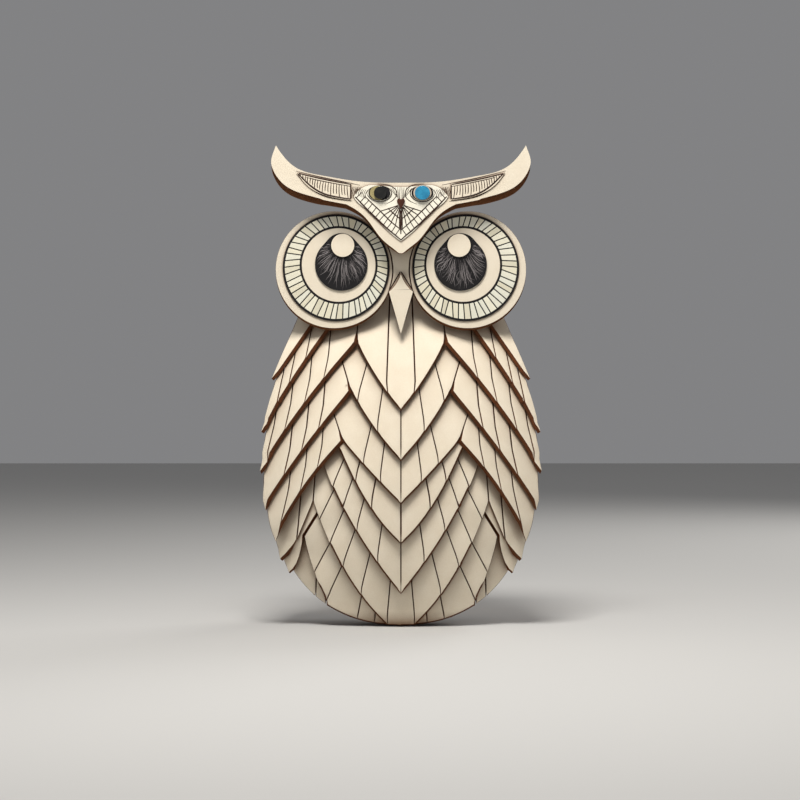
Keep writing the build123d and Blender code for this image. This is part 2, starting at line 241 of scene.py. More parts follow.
def card(name, pale, deep, edge=None, centre=None, scale=1.0, relief=0.12, rough=0.82,
         stretch=(1, 1, 1), shade_reach=0.0):
    """Pressed card: mottled between pale and deep, with toasted edges if edge is given.

    The last argument is how far a painted shade reaches: ambient occlusion darkens the colour
    towards brown under an overhanging edge, where shadow falls."""
    material = bpy.data.materials.new(name)
    material.use_nodes = True
    tree = material.node_tree
    shader = tree.nodes["Principled BSDF"]
    shader.inputs["Roughness"].default_value = rough
    shader.inputs["Specular IOR Level"].default_value = 0.25
    fibre = add(tree, "ShaderNodeGroup", node_tree=FIBRE)
    fibre.inputs["Scale"].default_value = scale
    fibre.inputs["Stretch"].default_value = stretch
    mottle = widened(tree, fibre.outputs["Mottle"], *MOTTLE_RANGE)
    colour = mix_colour(tree, mottle, (*deep, 1), (*pale, 1))
    # painted shade: ambient occlusion darkens the colour towards brown under overhanging edges
    if shade_reach:
        recess = add(tree, "ShaderNodeAmbientOcclusion")
        recess.samples = RECESS_SAMPLES
        recess.inputs["Distance"].default_value = shade_reach
        openness = widened(tree, recess.outputs["AO"], *RECESS_RANGE)
        colour = mix_colour(tree, openness, (*PAINTED_SHADE_COLOUR, 1), colour)
    if edge:
        mask = add(tree, "ShaderNodeGroup", node_tree=EDGE)
        mask.inputs["Centre"].default_value = centre or FAR_BEHIND
        edge_dark = tuple(c * DEEP_TOAST for c in edge)
        toast = mix_colour(tree, mottle, (*edge_dark, 1), (*edge, 1))
        colour = mix_colour(tree, mask.outputs["Face"], toast, colour)
    tree.links.new(colour, shader.inputs["Base Color"])
    bump = add(tree, "ShaderNodeBump")
    bump.inputs["Strength"].default_value = relief
    bump.inputs["Distance"].default_value = RELIEF_DEPTH
    tree.links.new(fibre.outputs["Relief"], bump.inputs["Height"])
    tree.links.new(bump.outputs[0], shader.inputs["Normal"])
    return material


# feather and face card carry painted shade under their overhangs, reaching 9 mm
feather_card = card("feather_card", (0.80, 0.715, 0.575), (0.75, 0.655, 0.51), TOAST,
                    tuple(DOME_CENTRE), relief=0.08, shade_reach=9 * MM)
face_card = card("face_card", (0.81, 0.73, 0.59), (0.775, 0.685, 0.54), TOAST,
                 relief=0.06, shade_reach=9 * MM)
eye_card = card("eye_card", (0.81, 0.73, 0.59), (0.775, 0.685, 0.54), TOAST, relief=0.06)
white_card = card("white_card", (0.90, 0.87, 0.75), (0.86, 0.81, 0.67), TOAST)
brown_board = card("brown_board", (0.20, 0.078, 0.028), (0.14, 0.052, 0.018), scale=0.8)
dome_card = card("dome_card", (0.11, 0.040, 0.015), (0.07, 0.026, 0.010), scale=0.8)
black_card = card("black_card", (0.012, 0.011, 0.012), (0.006, 0.005, 0.006), rough=0.7)
ink = card("ink", (0.045, 0.018, 0.010), (0.018, 0.008, 0.006), rough=0.6, relief=0.02)
gold_card = card("gold_card", (0.42, 0.36, 0.17), (0.30, 0.25, 0.11), rough=0.5)
kraft = card("kraft_paper", (0.53, 0.345, 0.185), (0.45, 0.28, 0.14), scale=0.9, relief=0.3,
             stretch=(1.0, 1.0, 0.45))


# %% [markdown]
# Some materials need one thing more: boards that are stacked show their layers, tiles and
# fibres differ from one to the next, and the two inlays are glazed.

# %% Layered, varied and glazed materials
JOINT_SHARE = 0.2          # of each layer's thickness
GRIME_SHARE = 0.3


def layered(name, pale, deep, gap, pitch):
    """Card stacked along Y: a dark joint every pitch."""
    material = card(name, pale, deep, scale=0.8)
    tree = material.node_tree
    shader = tree.nodes["Principled BSDF"]
    plain = shader.inputs["Base Color"].links[0].from_socket
    coords = add(tree, "ShaderNodeTexCoord")
    parts = add(tree, "ShaderNodeSeparateXYZ")
    tree.links.new(coords.outputs["Object"], parts.inputs[0])
    phase = math_node(tree, "FRACT", math_node(tree, "DIVIDE", parts.outputs["Y"], pitch))
    joint = math_node(tree, "LESS_THAN", phase, JOINT_SHARE)
    tree.links.new(mix_colour(tree, joint, plain, (*gap, 1)), shader.inputs["Base Color"])
    return material


def varied(name, tones, rough):
    """A colour picked from a ramp by each loose piece's own random number."""
    material = bpy.data.materials.new(name)
    material.use_nodes = True
    tree = material.node_tree
    shader = tree.nodes["Principled BSDF"]
    shader.inputs["Roughness"].default_value = rough
    shader.inputs["Specular IOR Level"].default_value = 0.3
    surface = add(tree, "ShaderNodeNewGeometry")
    ramp = add(tree, "ShaderNodeValToRGB")
    ramp.color_ramp.elements[0].color = (*tones[0], 1)
    ramp.color_ramp.elements[1].color = (*tones[-1], 1)
    for index, tone in enumerate(tones[1:-1], 1):
        ramp.color_ramp.elements.new(index / (len(tones) - 1)).color = (*tone, 1)
    tree.links.new(surface.outputs["Random Per Island"], ramp.inputs[0])
    fibre = add(tree, "ShaderNodeGroup", node_tree=FIBRE)
    grime = tuple(tone * fade for tone, fade in zip(tones[0], (0.7, 0.7, 0.6)))
    share = math_node(tree, "MULTIPLY", fibre.outputs["Mottle"], GRIME_SHARE)
    colour = mix_colour(tree, share, ramp.outputs[0], (*grime, 1))
    tree.links.new(colour, shader.inputs["Base Color"])
    return material


def glazed(name, pale, deep, scale):
    material = card(name, pale, deep, scale=scale, relief=0.02, rough=0.35)
    shader = material.node_tree.nodes["Principled BSDF"]
    shader.inputs["Coat Weight"].default_value = 0.6
    shader.inputs["Coat Roughness"].default_value = 0.12
    return material


stacked_board = layered("stacked_board", (0.24, 0.10, 0.040), (0.17, 0.066, 0.025),
                        (0.05, 0.018, 0.008), 1.5 * MM)
tile_card = varied("tile_card", [(0.70, 0.66, 0.52), (0.84, 0.79, 0.62), (0.80, 0.80, 0.70),
                                 (0.88, 0.84, 0.68)], 0.8)
grey_fibre = varied("grey_fibre", [(0.04, 0.036, 0.038), (0.15, 0.135, 0.135),
                                   (0.36, 0.33, 0.33)], 0.6)
blue_glaze = glazed("blue_glaze", (0.035, 0.30, 0.50), (0.008, 0.10, 0.22), 2.6)
black_glaze = glazed("black_glaze", (0.02, 0.02, 0.018), (0.008, 0.008, 0.008), 3.0)
brown_glaze = glazed("brown_glaze", (0.075, 0.022, 0.010), (0.03, 0.010, 0.006), 3.0)

# %% [markdown]
# ## Dressing the card parts
# The frame's parts already have the right shape. A weld joins their loose triangles, and a
# hair-thin bevel breaks each cut edge, so that it catches the light as real card does.

# %% Helpers for pieces
def paint(piece, material):
    piece.data.materials.clear()
    piece.data.materials.append(material)


def soften(piece, name, width, angle=None):
    """Bevels the edges of a piece; with an angle, only those that turn by more."""
    edge = piece.modifiers.new(name, "BEVEL")
    edge.width = width
    edge.segments = 2
    if angle:
        edge.limit_method = "ANGLE"
        edge.angle_limit = radians(angle)


def thicken(piece, thick):
    """Gives a sheet its thickness, behind the face that it already has."""
    wall = piece.modifiers.new("thickness", "SOLIDIFY")
    wall.thickness = thick
    wall.offset = -1


# %% Dress the frame's parts
CUT_ANGLE = 40


def dress(name, material, bevel=0.0):
    part = nodes[name]
    paint(part, material)
    if bevel:
        weld = part.modifiers.new("weld", "WELD")
        weld.merge_threshold = WELD_REACH
        soften(part, "cut_edge", bevel, CUT_ANGLE)


for name in nodes:
    if name.startswith("body_shell"):
        dress(name, dome_card)
    elif name.startswith(("rim_", "riser", "brow_spacer")):
        dress(name, stacked_board)
    elif name.startswith(("backing", "rib_", "brow_backer", "face_backer")):
        dress(name, brown_board, 0.15 * MM)
    elif name.startswith(("eye_ring", "gem_settings")):
        dress(name, black_card)
    elif name.startswith("pupil"):
        dress(name, black_card, 0.2 * MM)
    elif name.startswith(("face_plate", "brow_plate", "beak")):
        dress(name, face_card, 0.22 * MM)
    elif name.startswith(("eye_white", "catchlight")):
        dress(name, eye_card, 0.22 * MM)
    elif name.startswith("brow_panel"):
        dress(name, white_card if name == "brow_panel_centre" else face_card, 0.1 * MM)
dress("gem_blue_right", blue_glaze, 0.5 * MM)
dress("gem_dark_left", black_glaze, 0.5 * MM)
dress("brow_beak", brown_glaze, 0.3 * MM)

# %% [markdown]
# ## Feathers
# Each feather is a strip of thick card, glued at its top and left free at its foot, so the foot
# stands a little off the tier below and throws a soft shadow. The knife was held at a slant
# along the foot, which leaves a broad toasted edge there. Between two feathers it cut a slit
# like a narrow V, which leaves only a thin line. The outer feathers of a wing spread a little
# past the egg. A flat-sided solid can't show any of this, so each tier is copied, and the
# points of the copy are moved. Under each foot the card material also darkens towards brown:
# that is painted shade, from ambient occlusion, on top of the shadow the lifted foot casts.

# %% Feather measures
LIFT = 2.8 * MM            # how far a foot stands off, dying away up the feather
LIFT_REACH = 23 * MM
BREAST_EDGE = 0.95 * MM    # how broad the slanted cut of a foot is
WING_EDGE = 1.9 * MM
LOW_WING_EDGE = 1.1 * MM
EDGE_FADE = 4              # the slant dies away over this many times its own breadth
SLIT_EDGE = 0.12 * MM      # a slit is cut as a narrow V: wider in front,
SLIT_FOOT = 0.2 * MM       # and nearly shut behind
SPREAD = 2.4 * MM          # how far the foot of a wing feather stands out past the egg
SPREAD_REACH = 16 * MM
SPREAD_OUT, SPREAD_DOWN = 0.95, -0.3
ON_THE_FOOT = 0.1 * MM     # a point nearer to the foot than this belongs to it
FACING_REACH = 4 * MM      # a foot's direction is averaged over its lines this near
FEATHER_BEVEL, FEATHER_ANGLE = 0.12 * MM, 28


# %% [markdown]
# A tier's foot is found from its cut sides. A cut side has hardly any slope forward. It is part
# of a foot if it faces down, and leans outwards on the breast or inwards on a wing.

# %% Copies, cut sides and feet
SIDE_SLOPE = 0.05
FOOT_FACES_DOWN = -0.4
FOOT_LEAN = 0.2


def new_piece(name, mesh, material, body):
    """A finished piece: its mesh is already in place, so its object stays at the origin."""
    piece = bpy.data.objects.new(name, mesh)
    bpy.context.collection.objects.link(piece)
    paint(piece, material)
    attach(piece, body)
    return piece


def welded_copy(node):
    mesh = nodes[node].data.copy()
    shape = bmesh.new()
    shape.from_mesh(mesh)
    bmesh.ops.remove_doubles(shape, verts=shape.verts, dist=WELD_REACH)
    return mesh, shape


def is_side(face):
    return abs(face.normal.y) < SIDE_SLOPE


def is_foot(face, wing):
    if not is_side(face) or face.normal.z > FOOT_FACES_DOWN:
        return False
    outward = face.normal.x * (1 if face.calc_center_median().x > 0 else -1)
    return outward < FOOT_LEAN if wing else outward > -FOOT_LEAN


def islands(shape):
    """The separate solids of a mesh, each as a list of its points."""
    seen, found = set(), []
    for start in shape.verts:
        if start in seen:
            continue
        group, queue = [], [start]
        seen.add(start)
        while queue:
            point = queue.pop()
            group.append(point)
            for edge in point.link_edges:
                other = edge.other_vert(point)
                if other not in seen:
                    seen.add(other)
                    queue.append(other)
        found.append(group)
    return found


def from_front(place):
    """A place as it is seen from the front, without its depth."""
    return Vector((place.x, 0, place.z))


# %% [markdown]
# The egg is the backing card's outline, and a wing's feathers spread past its rim. The foot of a
# tier is kept as lines, so that any point can be told how far off it is.

# %% The egg and the foot lines
EGG = sorted((v.co.z, v.co.x) for v in nodes["backing_card"].data.vertices if v.co.x > 0)


def egg_half_width(z):
    for (low_z, low_x), (high_z, high_x) in zip(EGG, EGG[1:]):
        if low_z <= z <= high_z and high_z > low_z:
            return low_x + (high_x - low_x) * (z - low_z) / (high_z - low_z)
    return EGG[0][1] if z < EGG[0][0] else EGG[-1][1]


NO_FOOT = 1.0              # a metre: no foot is in reach


def foot_lines(shape, wing):
    """The lines of a tier's foot, seen from the front: each with its two ends and normal."""
    lines = []
    for face in shape.faces:
        if is_foot(face, wing):
            ends = [from_front(v.co) for v in face.verts]
            first = max(ends, key=lambda e: (e - ends[0]).length)
            last = max(ends, key=lambda e: (e - first).length)
            lines.append((first, last, face.normal.copy()))
    return lines


def nearest_foot(here, lines):
    """How far a place is from the foot, and the way the foot faces round there."""
    best, best_place = NO_FOOT, here
    for first, last, _ in lines:
        if (first - here).length - (last - first).length > best:
            continue
        place, share = geometry.intersect_point_line(here, first, last)
        place = first if share < 0 else last if share > 1 else place
        if (place - here).length < best:
            best, best_place = (place - here).length, place
    normal = Vector()
    for first, last, facing in lines:
        if ((first + last) / 2 - best_place).length < FACING_REACH:
            normal += facing
    return best, normal.normalized()


# %% [markdown]
# Where two tiers lie one on the other, the upper one has to stand off at least as far as the
# lower one, or they would cut through each other. So a tier is lifted by its distance from the
# nearest foot of its own tier or of any tier under it.

# %% Feet of all the tiers
TIERS = [name for name in nodes if name.startswith(("tier_", "shoulder_"))]
SAME_TIER = 0.5 * MM       # tiers whose radii differ by less than this lie side by side
FOOT_PARTS = 8
FAR_BELOW = Vector((0, 0, -1))     # stands in for the foot of a tier that has none


def is_wing(node):
    return node.endswith(("wing", "wings"))


def shell_radius(node):
    return max((v.co - DOME_CENTRE).length for v in nodes[node].data.vertices)


feet = {}
for name in TIERS:
    mesh, shape = welded_copy(name)
    feet[name] = foot_lines(shape, is_wing(name))
    shape.free()
    bpy.data.meshes.remove(mesh)


def feet_at_or_under(node):
    top = shell_radius(node) + SAME_TIER
    places = [first.lerp(last, step / FOOT_PARTS)
              for other in TIERS if shell_radius(other) < top
              for first, last, _ in feet[other] for step in range(FOOT_PARTS + 1)]
    places = places or [FAR_BELOW]
    tree = kdtree.KDTree(len(places))
    for index, place in enumerate(places):
        tree.insert(place, index)
    tree.balance()
    return tree


print(sum(len(lines) for lines in feet.values()), "foot lines on", len(feet), "tiers")


# %% [markdown]
# A point is moved as it is seen from the front: drawn back at a foot's front, parted at a slit,
# spread at the rim. Its depth then follows, because it has to lie on its own ball about the
# dome's centre, and that ball is larger by the lift.

# %% Cut and lift the feathers
def slant_shift(reach, facing, band):
    """How far the front of a feather is drawn back from its foot."""
    return -facing * band * max(0.0, 1 - reach / (EDGE_FADE * band))


def slit_shift(sides, front):
    """How far a cut side moves to open a V between two feathers."""
    return sum(sides, Vector()).normalized() * (-SLIT_EDGE if front else SLIT_FOOT)


def rim_shift(here, reach):
    """How far a wing feather spreads, near its foot and near the egg's rim."""
    inside = egg_half_width(here.z) - abs(here.x)
    rim = min(max(0.0, 1 - inside / SPREAD_REACH), 1.0)
    outward = Vector((SPREAD_OUT if here.x > 0 else -SPREAD_OUT, 0, SPREAD_DOWN))
    return outward * (SPREAD * rim * rim * max(0.0, 1 - reach / LIFT_REACH))


def on_ball(place, radius):
    """The point of a ball about the dome's centre that is seen at this place."""
    across = hypot(place.x - DOME_CENTRE.x, place.z - DOME_CENTRE.z)
    ahead = sqrt(max(radius ** 2 - across ** 2, 0))
    return Vector((place.x, DOME_CENTRE.y - ahead, place.z))


def moved_points(group, wing, band, foot, under):
    """New places for the points of one feather."""
    distance = {p: (p.co - DOME_CENTRE).length for p in group}
    middle = (min(distance.values()) + max(distance.values())) / 2
    moved = {}
    for point in group:
        sides = [f.normal for f in point.link_faces if is_side(f) and not is_foot(f, wing)]
        here = place = from_front(point.co)
        reach, facing = nearest_foot(here, foot)
        share = max(0.0, 1 - under.find(here)[2] / LIFT_REACH)
        front = distance[point] > middle
        if front:
            place = place + slant_shift(reach, facing, band)
        if sides and (reach > ON_THE_FOOT or not front):
            place = place + slit_shift(sides, front)
        if wing:
            place = place + rim_shift(here, reach)
        moved[point] = on_ball(place, distance[point] + LIFT * share)
    return moved


def edge_breadth(node):
    if node.endswith("wings"):
        return LOW_WING_EDGE
    return WING_EDGE if is_wing(node) else BREAST_EDGE


def feather_tier(node):
    under = feet_at_or_under(node)
    mesh, shape = welded_copy(node)
    moved = {}
    for group in islands(shape):
        moved.update(moved_points(group, is_wing(node), edge_breadth(node), feet[node], under))
    for point, place in moved.items():
        point.co = place
    shape.to_mesh(mesh)
    shape.free()
    piece = new_piece("feathers_" + node, mesh, feather_card, "front")
    soften(piece, "cut_edge", FEATHER_BEVEL, FEATHER_ANGLE)
    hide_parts(node)
    return piece


feather_tiers = [feather_tier(name) for name in TIERS]
print(len(feather_tiers), "tiers of feathers")

# %% [markdown]
# ## Eyes
# Round each eye runs a ring of pale card tiles, set on black card so that the black shows
# between them. Two circles are bridged into a ring, each face is inset by itself to open the
# joints, and the tiles are then given their thickness.

# %% Eye tiles
TILES = 48
TILE_JOINT = 0.31 * MM
TILE_THICK = 0.30 * MM
TILE_PROUD = 0.24 * MM
TILE_OUT, TILE_IN = 28.75 * MM, 21.35 * MM
TILE_BEVEL = 0.06 * MM
TILE_WOBBLE = 0.2          # how far a joint strays, as a share of a tile


def face_forward(mesh):
    """Turns every face of a flat sheet to look forward, which is -Y."""
    shape = bmesh.new()
    shape.from_mesh(mesh)
    bmesh.ops.reverse_faces(shape, faces=[f for f in shape.faces if f.normal.y > 0])
    shape.to_mesh(mesh)
    shape.free()


def finish_modifiers(piece):
    bpy.context.view_layer.objects.active = piece
    for modifier in list(piece.modifiers):
        bpy.ops.object.modifier_apply(modifier=modifier.name)


def add_circle(centre, radius, y, count):
    bpy.ops.mesh.primitive_circle_add(vertices=count, radius=radius,
                                      location=(centre.x, y, centre.z), rotation=(pi / 2, 0, 0))
    bpy.ops.object.transform_apply(location=True, rotation=True, scale=True)
    return bpy.context.object


def eye_tiles(side):
    bpy.ops.object.select_all(action="DESELECT")
    y = RING_Y - TILE_PROUD
    rings = [(centre_of("eye_ring_" + side), TILE_OUT), (centre_of("eye_white_" + side), TILE_IN)]
    made = []
    for centre, radius in rings:
        circle = add_circle(centre, radius, y, TILES)
        for point in circle.data.vertices:
            turn = random.uniform(-TILE_WOBBLE, TILE_WOBBLE) * 2 * pi / TILES
            x, z = point.co.x - centre.x, point.co.z - centre.z
            point.co.x = centre.x + x * cos(turn) - z * sin(turn)
            point.co.z = centre.z + x * sin(turn) + z * cos(turn)
        made.append(circle)
    for circle in made:
        circle.select_set(True)
    bpy.context.view_layer.objects.active = made[0]
    bpy.ops.object.join()
    ring = bpy.context.object
    bpy.ops.object.mode_set(mode="EDIT")
    bpy.ops.mesh.select_all(action="SELECT")
    bpy.ops.mesh.bridge_edge_loops()
    bpy.ops.mesh.select_mode(type="FACE")
    bpy.ops.mesh.select_all(action="SELECT")
    bpy.ops.mesh.inset(thickness=TILE_JOINT, use_individual=True)
    bpy.ops.mesh.select_all(action="INVERT")
    bpy.ops.mesh.delete(type="FACE")
    bpy.ops.object.mode_set(mode="OBJECT")
    face_forward(ring.data)
    ring.name = "eye_tiles_" + side
    thicken(ring, TILE_THICK)
    soften(ring, "soft_edge", TILE_BEVEL)
    finish_modifiers(ring)
    paint(ring, tile_card)
    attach(ring, "head")
    return ring


for side in ("right", "left"):
    tiles = eye_tiles(side)
    print(tiles.name, len(tiles.data.polygons), "faces")

# %% [markdown]
# ## Ink and fibres
# A line of ink or a paper fibre is a thin strand that swells in its middle. One helper turns
# lists of points into strands: it makes one curve with many splines, gives it a small round
# section, converts it to a mesh and presses it flat onto its card.

# %% Strands
def strands(name, strokes, width, y, press, material, body, ends=0.35):
    """Thin lines through strokes, which are lists of (x, z) in metres, lying at height y.

    Press is what is left of their depth, and ends is how thick they are at their ends."""
    curve = bpy.data.curves.new(name, "CURVE")
    curve.dimensions = "3D"
    curve.bevel_depth = width / 2
    curve.bevel_resolution = 1
    curve.resolution_u = 3
    curve.use_fill_caps = True
    for stroke in strokes:
        spline = curve.splines.new("NURBS")
        spline.points.add(len(stroke) - 1)
        for index, (x, z) in enumerate(stroke):
            share = index / (len(stroke) - 1)
            spline.points[index].co = (x, y, z, 1)
            spline.points[index].radius = ends + (1 - ends) * sin(pi * share) ** 0.5
        spline.order_u = 3
        spline.use_endpoint_u = True
    bpy.ops.object.select_all(action="DESELECT")
    line = bpy.data.objects.new(name, curve)
    bpy.context.collection.objects.link(line)
    line.select_set(True)
    bpy.context.view_layer.objects.active = line
    bpy.ops.object.convert(target="MESH")
    piece = bpy.context.object
    for point in piece.data.vertices:
        point.co.y = y + (point.co.y - y) * press
    paint(piece, material)
    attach(piece, body)
    return piece


# %% [markdown]
# ### Pupil fibres
# Below the round highlight the pupil is combed with grey fibres. They start round the highlight
# and run to the pupil's edge, which is the outline round a large circle and a small one above.

# %% Pupil fibres
FIBRES = 150
PUPIL_BIG, PUPIL_SMALL, PUPIL_RISE = 14.6 * MM, 9.5 * MM, 7.8 * MM
PUPIL_STEPS = 8            # circles tried between the large one and the small one
PUPIL_MARGIN = 0.7 * MM
FIBRES_FROM, FIBRES_ROUND = -205, 230      # degrees
FIBRE_STEP, FIBRE_SHORTEST, FIBRE_WIDTH = 0.25 * MM, 2.5 * MM, 0.36 * MM


def in_pupil(x, z, middle_x, middle_z, margin):
    for step in range(PUPIL_STEPS + 1):
        share = step / PUPIL_STEPS
        radius = PUPIL_BIG + (PUPIL_SMALL - PUPIL_BIG) * share - margin
        if hypot(x - middle_x, z - middle_z - PUPIL_RISE * share) < radius:
            return True
    return False


def pupil_fibres(side):
    glint = centre_of("catchlight_" + side)
    pupil_low = low("pupil_" + side)
    middle_x = centre_of("pupil_" + side).x
    middle_z = pupil_low.z + PUPIL_BIG
    glint_r = (high("catchlight_" + side).x - low("catchlight_" + side).x) / 2
    strokes = []
    for index in range(FIBRES):
        angle = radians(FIBRES_FROM + FIBRES_ROUND * (index + random.random()) / FIBRES)
        start = glint_r * random.uniform(1.04, 1.5)
        reach = start
        while in_pupil(glint.x + reach * cos(angle), glint.z + reach * sin(angle),
                       middle_x, middle_z, PUPIL_MARGIN):
            reach += FIBRE_STEP
        if reach - start < FIBRE_SHORTEST:
            continue
        begin = start + (reach - start) * random.choice((0, 0, 0.3, 0.5)) * random.random()
        end = begin + (reach - begin) * random.uniform(0.6, 1.0)
        bend = random.uniform(-0.14, 0.14)
        stroke = []
        for step in range(5):
            share = step / 4
            r = begin + (end - begin) * share
            a = angle + bend * sin(pi * share) + 0.05 * bend * step
            stroke.append((glint.x + r * cos(a), glint.z + r * sin(a)))
        strokes.append(stroke)
    return strands("pupil_fibres_" + side, strokes, FIBRE_WIDTH, PUPIL_Y, 0.6, grey_fibre,
                   "head", ends=0.2)


for side in ("right", "left"):
    pupil_fibres(side)

# %% [markdown]
# ### Brow drawing
# The brow is drawn in dark brown ink: a row of square tiles along its point, long rays from the
# small beak, a fan over it, and slanted hatching on each wing. All of it is made for one half,
# in millimetres from the middle, and mirrored with a little unevenness.

# %% Following a line
def along(points, share):
    """A point on a run of straight lines, by its share of their whole length."""
    lengths = [hypot(b[0] - a[0], b[1] - a[1]) for a, b in zip(points, points[1:])]
    left = share * sum(lengths)
    for (a, b), length in zip(zip(points, points[1:]), lengths):
        if left <= length or b is points[-1]:
            t = left / length
            return (a[0] + (b[0] - a[0]) * t, a[1] + (b[1] - a[1]) * t)
        left -= length


SHARE_NEAR = 0.02


def offset(points, share, distance):
    """The same, set in from the line by a distance, towards the beak."""
    before = along(points, max(share - SHARE_NEAR, 0))
    after = along(points, min(share + SHARE_NEAR, 1))
    dx, dz = after[0] - before[0], after[1] - before[1]
    size = hypot(dx, dz)
    x, z = along(points, share)
    return (x - dz / size * distance, z + dx / size * distance)


# %% [markdown]
# The edges below run from the brow's point at the middle to the tip of a wing, in millimetres.

# %% The drawing of half a brow
POINT_EDGE = [(0, 187.3), (9.3, 195.2), (19.4, 205.0), (25.3, 211.2)]
WING_UNDER = [(27.8, 209.9), (37, 210.9), (45, 213.6), (52, 219), (56.2, 223.6)]
WING_OVER = [(27.8, 217.8), (43, 220.5), (56.2, 223.9)]
NOSE = (0, 205.2)
ROW, SECOND_ROW = 4.2, 8.4
TILE_PITCH = 0.085         # as a share of the point's edge


def point_outline():
    return [[along(POINT_EDGE, t / 10) for t in range(11)]]


def half_drawing():
    lines = [[offset(POINT_EDGE, t / 10, ROW) for t in range(1, 10)]]
    lines.append([offset(POINT_EDGE, t / 10, SECOND_ROW) for t in range(2, 6)])
    for step in range(1, 12):
        share = 0.03 + TILE_PITCH * step
        lines.append([offset(POINT_EDGE, share, 0.1), offset(POINT_EDGE, share + 0.01, ROW)])
    for step in range(6):
        foot = offset(POINT_EDGE, 0.13 + TILE_PITCH * step, ROW)
        bow = 0.6 - 0.2 * step
        head = (NOSE[0] + 0.5 + 0.25 * step, NOSE[1] - 0.5 + 0.35 * step)
        middle = ((foot[0] + head[0]) / 2 + bow * 0.5, (foot[1] + head[1]) / 2 + bow)
        lines.append([head, middle, foot])
    lines.append([(0.1, 203.6), (0.5, 198), (0.1, 190.4)])
    return lines


OVAL_X, OVAL_Z, OVAL_WIDE, OVAL_HIGH = 11.8, 213.1, 6.9, 4.9
OVAL_DRIFT = 3.2
OVAL_STEPS = 14


def eye_lines():
    """A line round each inlay, part of a second one outside it, and strokes at its two sides."""
    lines = []
    for grow, first, last in ((1.0, 0, OVAL_STEPS), (1.28, 3, 10)):
        oval = []
        for step in range(first, last + 1):
            turn = step / OVAL_STEPS * 2 * pi
            flatter = 0.8 if step < OVAL_STEPS / 2 else 1.0
            oval.append((OVAL_X + OVAL_WIDE * grow * cos(turn) - OVAL_DRIFT * (grow - 1),
                         OVAL_Z + OVAL_HIGH * grow * sin(turn) * flatter))
        lines.append(oval)
    for step in range(5):
        lines.append([(0.5 + 0.35 * step, 209.4 + 0.3 * step),
                      (0.7 + 0.9 * step, 213.2), (0.5 + 1.35 * step, 216.3 - 0.1 * step)])
    for step in range(7):
        x = 19.6 + 0.9 * step
        lines.append([(x, 209.5 + 0.5 * step), (x + 0.5, 212.2 + 0.3 * step),
                      (x - 1.3, 214.9 + 0.1 * step)])
    return lines


def wing_outline():
    return [WING_UNDER, WING_OVER, [WING_UNDER[0], (27.4, 213.8), WING_OVER[0]]]


def outlines():
    return point_outline() + wing_outline()


def wing_hatching():
    lines = [[(x, z - 1.1) for x, z in WING_OVER[:2]] + [(52, 221.7)]]
    for step in range(19):
        share = 0.03 + 0.05 * step
        foot, head = along(WING_UNDER, share), along(WING_OVER, min(share + 0.035, 1))
        top = (foot[0] + (head[0] - foot[0]) * 0.86, foot[1] + (head[1] - foot[1]) * 0.86)
        middle = ((foot[0] + top[0]) / 2 + 0.45, (foot[1] + top[1]) / 2)
        start = 0.25 if step % 3 else 0.0
        begin = (foot[0] + (top[0] - foot[0]) * start, foot[1] + (top[1] - foot[1]) * start)
        lines.append([begin, middle, top])
    return lines


def join_lines():
    """Short strokes on the bare card between the point and a wing, and along the wing."""
    lines = []
    for step in range(7):
        x = 22.3 + 0.72 * step
        lines.append([(x + 1.2, 209.6 + 0.12 * step), (x + 0.9, 213), (x - 0.5, 216.6)])
    lines.append([(26.6, 208.6), (37, 209.6), (45.4, 212.5), (52.6, 218), (57.4, 223.4)])
    lines.append([(22.4, 217.4), (33, 219.6), (44, 221.7), (57.8, 225.2)])
    return lines


EYE_X, EYE_Z, EYE_EDGE = 37.0, 171.6, 32.4
BEAK_UPPER = [(0.2, 170.6), (3.2, 166.0), (6.9, 159.6)]
BEAK_LOWER = [(6.9, 159.6), (4.6, 151.5), (2.6, 144.6)]


def face_lines():
    """The edge of each eye's disc beside the beak, and the beak's two sides."""
    edge = []
    for step in range(10):
        turn = radians(155 + 5 * step)
        edge.append((EYE_X + EYE_EDGE * cos(turn), EYE_Z + EYE_EDGE * sin(turn)))
    return [edge, BEAK_UPPER, BEAK_LOWER]


# %% [markdown]
# A hand doesn't draw both halves alike, so every point of a half strays a little when it is
# placed. Each line of the table is one drawing: its name, what draws it, how broad the pen is
# in millimetres, the card that it lies on, what pressing leaves of its depth, and its ends.

# %% Ink the brow and the face
STRAY_X, STRAY_Z = 0.16, 0.13


def uneven(lines, mirror):
    sign = -1 if mirror else 1
    return [[(sign * (x + random.uniform(-STRAY_X, STRAY_X)) * MM,
              (z + random.uniform(-STRAY_Z, STRAY_Z)) * MM) for x, z in line] for line in lines]


DRAWINGS = (("brow_tiles_ink_", half_drawing, 0.78, PANEL_Y, 0.25, 0.7),
            ("brow_eye_ink_", eye_lines, 0.60, PANEL_Y, 0.25, 0.35),
            ("brow_wing_ink_", wing_hatching, 0.74, PANEL_Y, 0.25, 0.5),
            ("brow_outline_ink_", outlines, 1.05, PANEL_Y, 0.25, 0.6),
            ("brow_join_ink_", join_lines, 0.62, BROW_Y, 0.25, 0.4),
            ("face_ink_", face_lines, 0.9, FACE_Y, 0.3, 0.6))
for side, mirror in (("right", False), ("left", True)):
    for name, draw, pen, y, press, ends in DRAWINGS:
        strands(name + side, uneven(draw(), mirror), pen * MM, y, press, ink, "head",
                ends=ends)

# %% [markdown]
# ### Rims of the two inlays
# One inlay has a thin pale rim all round. Behind the other a gold disc shows as a crescent.

# %% Inlay rims
DISC_SIDES = 40
DISC_INSET = 0.3
DISC_BEVEL = 0.1 * MM
RIM_PROUD, RIM_THICK = 0.3 * MM, 0.35 * MM
INLAY_PROUD, INLAY_THICK = 0.1 * MM, 1.3 * MM


